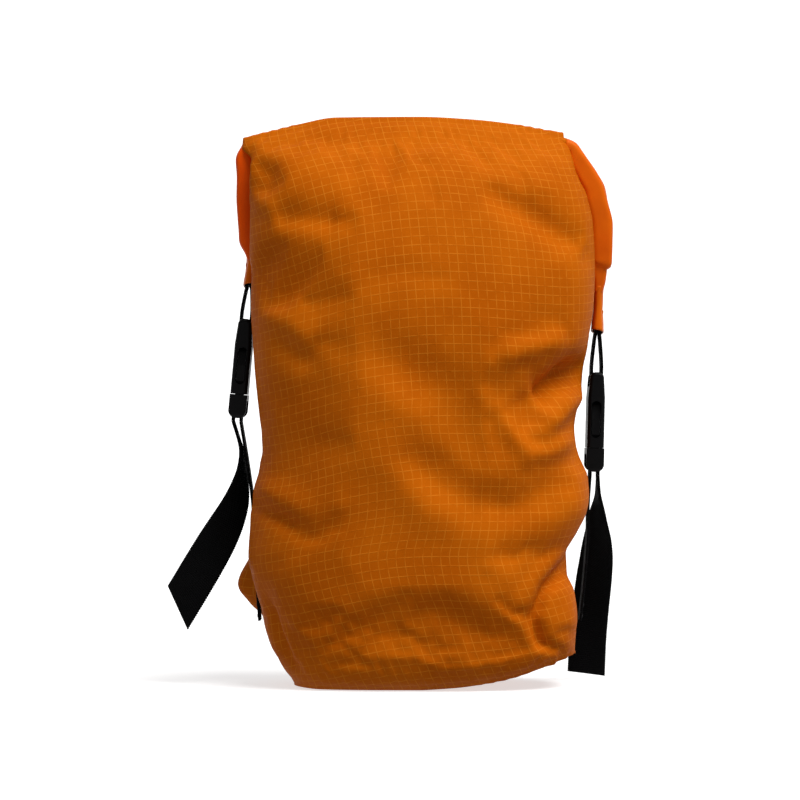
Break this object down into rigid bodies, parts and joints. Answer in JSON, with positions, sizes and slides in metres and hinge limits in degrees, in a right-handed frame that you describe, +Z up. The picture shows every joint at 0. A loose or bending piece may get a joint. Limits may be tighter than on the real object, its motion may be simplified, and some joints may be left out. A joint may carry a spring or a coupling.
{
  "type": "dry bag",
  "caption": "Soft roll-top bag of coated grid fabric with a flat base, side release buckles and webbing straps that hold the rolled neck down.",
  "frame": {"origin": "middle of the flat underside that the bag stands on, with the side seams in the plane Y = 0", "axes": "+Z up towards the rolled closure, +X along the roll to the wearer's right as seen from the front, -Y the front"},
  "size_m": [0.2828, 0.1445, 0.3528],
  "materials": {
    "ripstop": "satin",
    "hem": "satin",
    "stiffener": "satin",
    "seam_tape": "satin",
    "webbing": "matte",
    "thread": "matte",
    "buckle": "matte"
  },
  "bodies": {
    "bag": {"front_panel": "ripstop", "back_panel": "ripstop", "bottom_seam_tape": "seam_tape", "left_seam_tape": "seam_tape", "left_corner_tape": "seam_tape", "left_lower_strap": "webbing", "left_anchor_stitches": "thread", "right_seam_tape": "seam_tape", "right_corner_tape": "seam_tape", "right_lower_strap": "webbing", "right_anchor_stitches": "thread"},
    "closure": {"rolled_top": "ripstop", "mouth_hem": "hem", "inner_stiffener": "stiffener", "outer_stiffener": "stiffener", "left_tab_sleeve": "ripstop", "left_sleeve_stitches": "thread", "left_tab_loop": "webbing", "left_buckle_socket": "buckle", "left_upper_strap": "webbing", "right_tab_sleeve": "ripstop", "right_sleeve_stitches": "thread", "right_tab_loop": "webbing", "right_buckle_socket": "buckle", "right_upper_strap": "webbing"},
    "left_plug": {"left_buckle_plug": "buckle", "left_strap_wrap": "webbing"},
    "left_front_prong": {"left_front_prong": "buckle"},
    "left_rear_prong": {"left_rear_prong": "buckle"},
    "left_tail": {"left_strap_tail": "webbing"},
    "right_plug": {"right_buckle_plug": "buckle", "right_strap_wrap": "webbing"},
    "right_front_prong": {"right_front_prong": "buckle"},
    "right_rear_prong": {"right_rear_prong": "buckle"},
    "right_tail": {"right_strap_tail": "webbing"}
  },
  "joints": [
    {"name": "closure_press", "type": "slide", "parent": "bag", "child": "closure", "axis": [0, 0, -1], "range_m": [0, 0.03], "stiffness_N_per_m": 600, "springref_m": -0.004, "deforming": ["front_panel", "back_panel", "left_seam_tape", "left_corner_tape", "left_lower_strap", "right_seam_tape", "right_corner_tape", "right_lower_strap"]},
    {"name": "left_buckle_release", "type": "slide", "parent": "closure", "child": "left_plug", "axis": [-0.0906, 0, -0.9959], "range_m": [0, 0.031], "deforming": ["left_upper_strap", "left_front_prong", "left_rear_prong"]},
    {"name": "left_front_prong_flex", "type": "hinge", "parent": "left_plug", "child": "left_front_prong", "pos_m": [-0.11251, 0.0038, 0.182], "axis": [-0.9959, 0, 0.0906], "range_deg": [0, 12], "stiffness_Nm_per_rad": 0.3},
    {"name": "left_rear_prong_flex", "type": "hinge", "parent": "left_plug", "child": "left_rear_prong", "pos_m": [-0.11251, 0.0202, 0.182], "axis": [0.9959, 0, -0.0906], "range_deg": [0, 12], "stiffness_Nm_per_rad": 0.3},
    {"name": "left_tail_swing", "type": "hinge", "parent": "left_plug", "child": "left_tail", "pos_m": [-0.1167, 0.012, 0.1642], "axis": [0, 1, 0], "range_deg": [0, 60], "stiffness_Nm_per_rad": 0.01, "springref_deg": -11.46},
    {"name": "right_buckle_release", "type": "slide", "parent": "closure", "child": "right_plug", "axis": [-0.0244, 0, -0.9997], "range_m": [0, 0.031], "deforming": ["right_upper_strap", "right_front_prong", "right_rear_prong"]},
    {"name": "right_front_prong_flex", "type": "hinge", "parent": "right_plug", "child": "right_front_prong", "pos_m": [0.10902, 0.0038, 0.1486], "axis": [-0.9997, 0, 0.0244], "range_deg": [0, 12], "stiffness_Nm_per_rad": 0.3},
    {"name": "right_rear_prong_flex", "type": "hinge", "parent": "right_plug", "child": "right_rear_prong", "pos_m": [0.10902, 0.0202, 0.1486], "axis": [0.9997, 0, -0.0244], "range_deg": [0, 12], "stiffness_Nm_per_rad": 0.3},
    {"name": "right_tail_swing", "type": "hinge", "parent": "right_plug", "child": "right_tail", "pos_m": [0.111, 0.012, 0.1304], "axis": [0, -1, 0], "range_deg": [0, 60], "stiffness_Nm_per_rad": 0.01, "springref_deg": -11.46}
  ]
}
